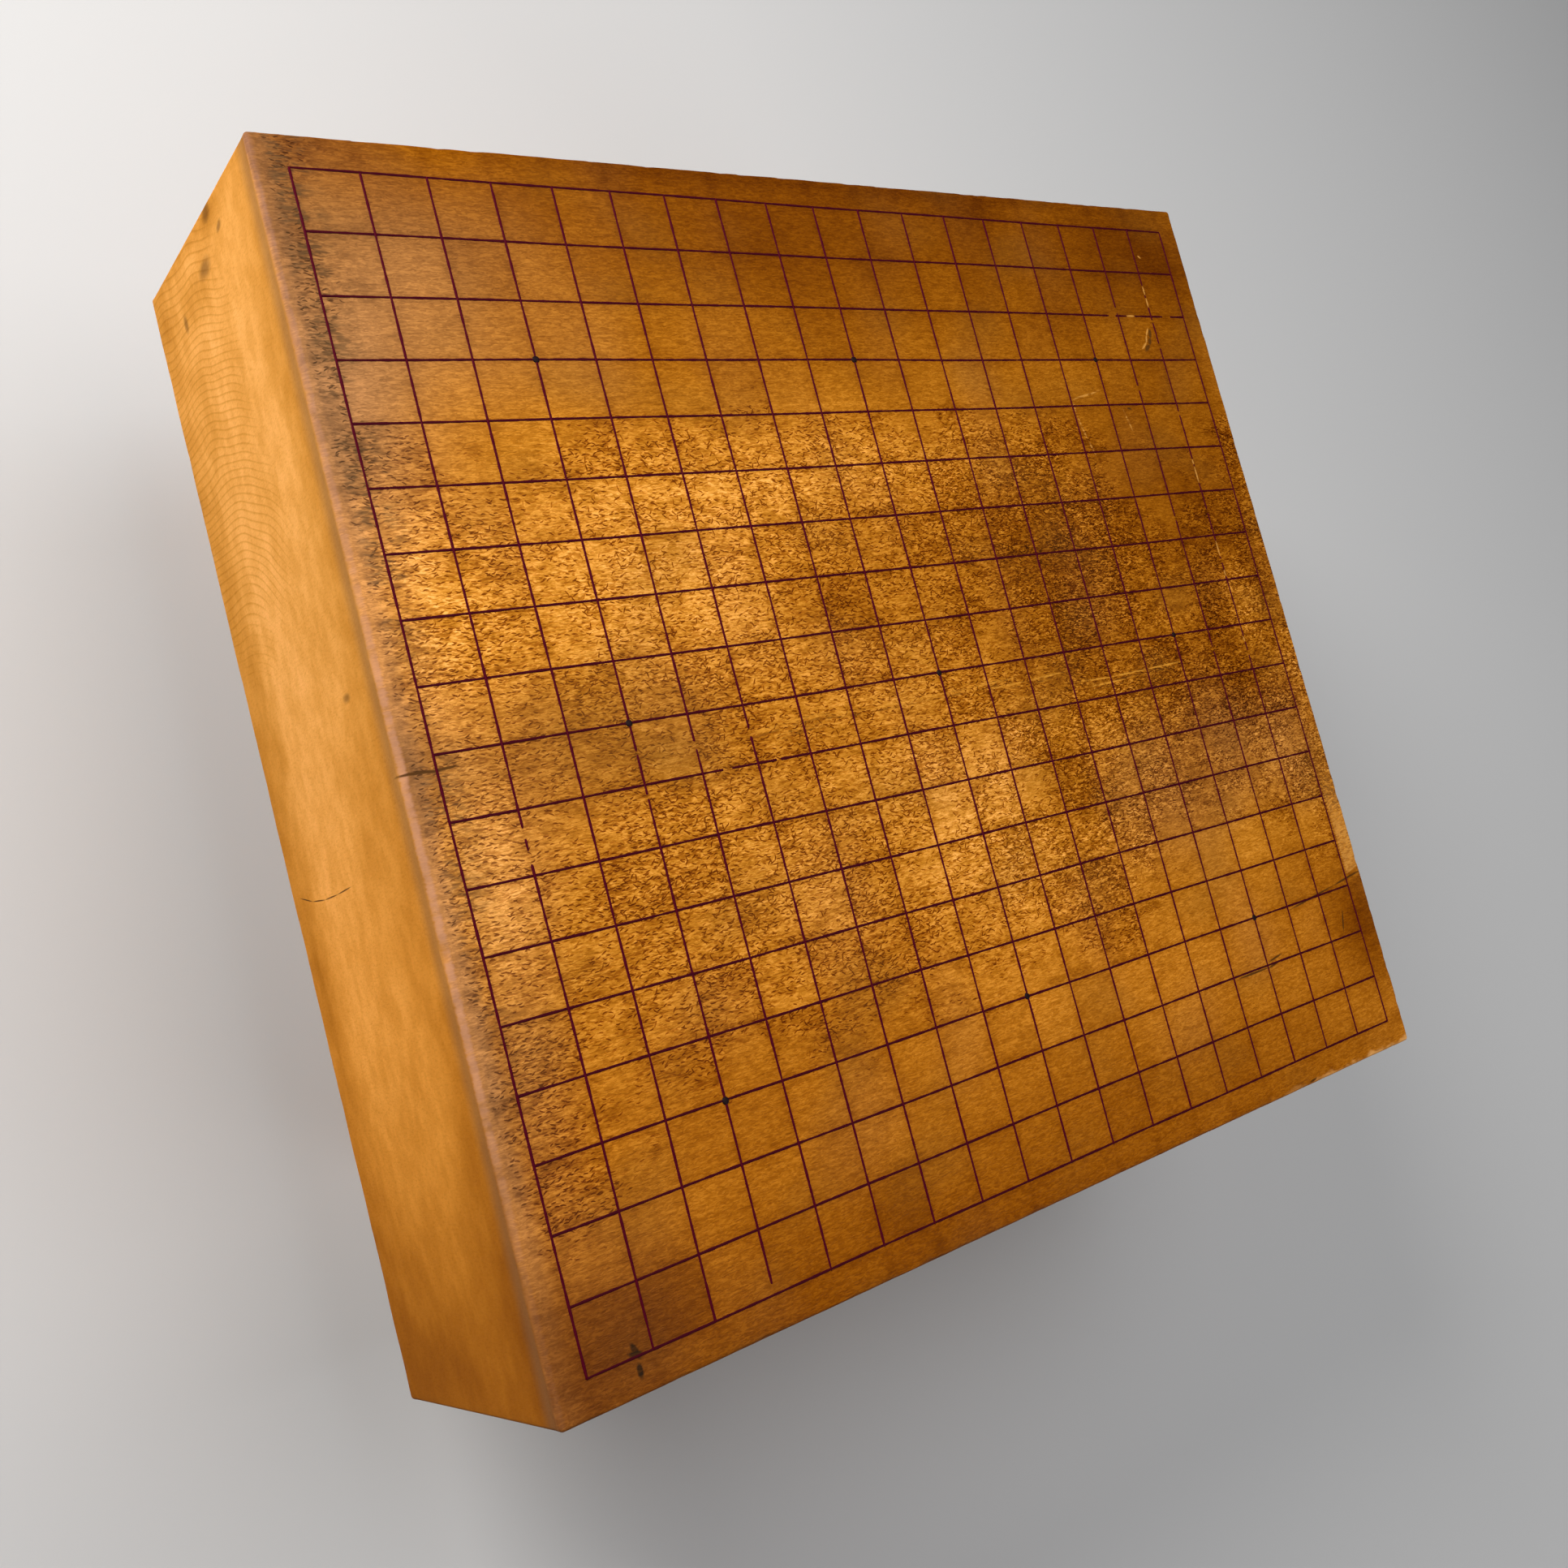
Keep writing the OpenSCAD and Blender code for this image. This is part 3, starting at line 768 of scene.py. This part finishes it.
cross_gaps = [
    (17, 0.165, 0.1693), (17, 0.1588, 0.1633), (17, 0.151, 0.152), (17, 0.1383, 0.140),
    (17, 0.1042, 0.1058), (17, 0.0796, 0.0817), (17, 0.0704, 0.0783), (17, 0.0554, 0.0567),
    (17, 0.0392, 0.0412), (17, 0.0338, 0.0383), (17, 0.0308, 0.032), (17, 0.0242, 0.0267),
    (17, -0.0083, -0.0063), (17, -0.0146, -0.0133), (16, 0.1556, 0.1578), (16, 0.117, 0.119),
    (16, 0.0533, 0.0546), (16, -0.0104, -0.0088), (1, -0.032, -0.0285), (1, -0.040, -0.036),
    (3, -0.0112, -0.0100), (3, -0.0268, -0.0256), (4, -0.0128, -0.0105), (5, -0.0118, -0.0092),
    (3, -0.199, -0.1945),
]
along, across, up = drawn_lines(line_x, 0.1985, 0.00025, cross_gaps)
cross_rings = np.stack([across, along, up], axis=-1)[:, :, ::-1]
crosswise = laid_lines("drawn_lines_crosswise", cross_rings, (0.068, 0.0012, 0.009, 1))
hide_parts("crosswise_lines")

# The nine star points are drops of black lacquer set on the crossings of lines 4, 10 and 16.
star_r, star_rise, star_root = 0.00140, 0.00038, 0.0002
star_turn = np.linspace(0, 2 * np.pi, 32, endpoint=False)
star_dome = np.array([[0.3, 0.99], [0.6, 0.93], [0.82, 0.75], [0.95, 0.45], [1.0, 0.0], [0.98, -0.4]])
star_spots = np.array([[line_x[i], line_y[j], face_z] for i in (3, 9, 15) for j in (3, 9, 15)])
star_size = star_r * chance.uniform(0.92, 1.0, 9)[:, None, None]
wobble = 1 + ripple(star_turn / 6.2832 + np.arange(9)[:, None] * 5.1, [1.0, 0.5, 0.3333], 0.05)
spread = star_dome[:, 0, None] * star_size * wobble[:, None] * 0.98
star_rings = np.stack([
    spread * np.cos(star_turn),
    spread * np.sin(star_turn),
    np.broadcast_to(star_dome[:, 1, None] * star_rise, spread.shape),
], axis=-1) + star_spots[:, None, None]
star_tips = star_spots[:, None] + np.array([[0, 0, star_rise], [0, 0, -star_root]])
stars = closed_skins("lacquer_stars", star_rings, star_tips)
star_lacquer = Finish("star lacquer")
star_lacquer.shader.inputs["Base Color"].default_value = (0.012, 0.004, 0.005, 1)
star_lacquer.shader.inputs["Roughness"].default_value = 0.45
star_lacquer.shader.inputs["Specular IOR Level"].default_value = 0.08
stars.data.materials.append(star_lacquer.material)
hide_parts("star_points")
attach(stars, "board")

# The stage is a plain pale floor under soft studio light, seen from the photograph's side.
floor_mesh = bpy.data.meshes.new("floor")
floor_mesh.from_pydata([(-6, -6, 0), (6, -6, 0), (6, 6, 0), (-6, 6, 0)], [], [(0, 1, 2, 3)])
floor = bpy.data.objects.new("floor", floor_mesh)
bpy.context.scene.collection.objects.link(floor)
pale = Finish("pale floor")
pale.shader.inputs["Base Color"].default_value = (0.60, 0.60, 0.60, 1)
pale.shader.inputs["Roughness"].default_value = 0.9
pale.shader.inputs["Specular IOR Level"].default_value = 0.1
floor_mesh.materials.append(pale.material)


def soft_light(name, spot, aim, size, power, colour):
    lamp = bpy.data.lights.new(name, "AREA")
    lamp.shape = "DISK"
    lamp.size = size
    lamp.energy = power
    lamp.color = colour
    made = bpy.data.objects.new(name, lamp)
    made.location = spot
    back = Vector(spot) - Vector(aim)
    made.rotation_mode = "QUATERNION"
    made.rotation_quaternion = back.to_track_quat("Z", "Y")
    bpy.context.scene.collection.objects.link(made)


soft_light("key", (-0.8, 0.8, 0.85), (-0.05, 0.05, 0.2), 0.6, 18, (1, 0.98, 0.95))
soft_light("overhead", (0.3, 0.45, 2.2), (0, 0, 0.2), 1.8, 23, (0.97, 0.98, 1))
soft_light("fill", (1.2, -1.6, 1.3), (0, 0, 0.2), 1.2, 10, (1, 1, 1))
world = bpy.data.worlds.new("studio")
world.use_nodes = True
world.node_tree.nodes["Background"].inputs["Color"].default_value = (1, 1, 1, 1)
world.node_tree.nodes["Background"].inputs["Strength"].default_value = 0.06
bpy.context.scene.world = world

camera_data = bpy.data.cameras.new("camera")
camera_data.lens = 37.315
camera_data.sensor_width = 36
camera_data.shift_x = -0.0776
camera_data.shift_y = -0.0186
camera = bpy.data.objects.new("camera", camera_data)
view_right = np.array([0.7602, -0.2593, 0.5957])
view_up = np.array([0.153, 0.9626, 0.2236])
view_back = np.cross(view_right, view_up)
turn = Matrix(np.stack([view_right, view_up, view_back], axis=1).tolist())
camera.rotation_mode = "QUATERNION"
camera.rotation_quaternion = turn.to_quaternion()
camera.location = (-0.4233, -0.0789, 0.7135)
bpy.context.scene.collection.objects.link(camera)
bpy.context.scene.camera = camera
bpy.context.scene.view_settings.view_transform = "Standard"
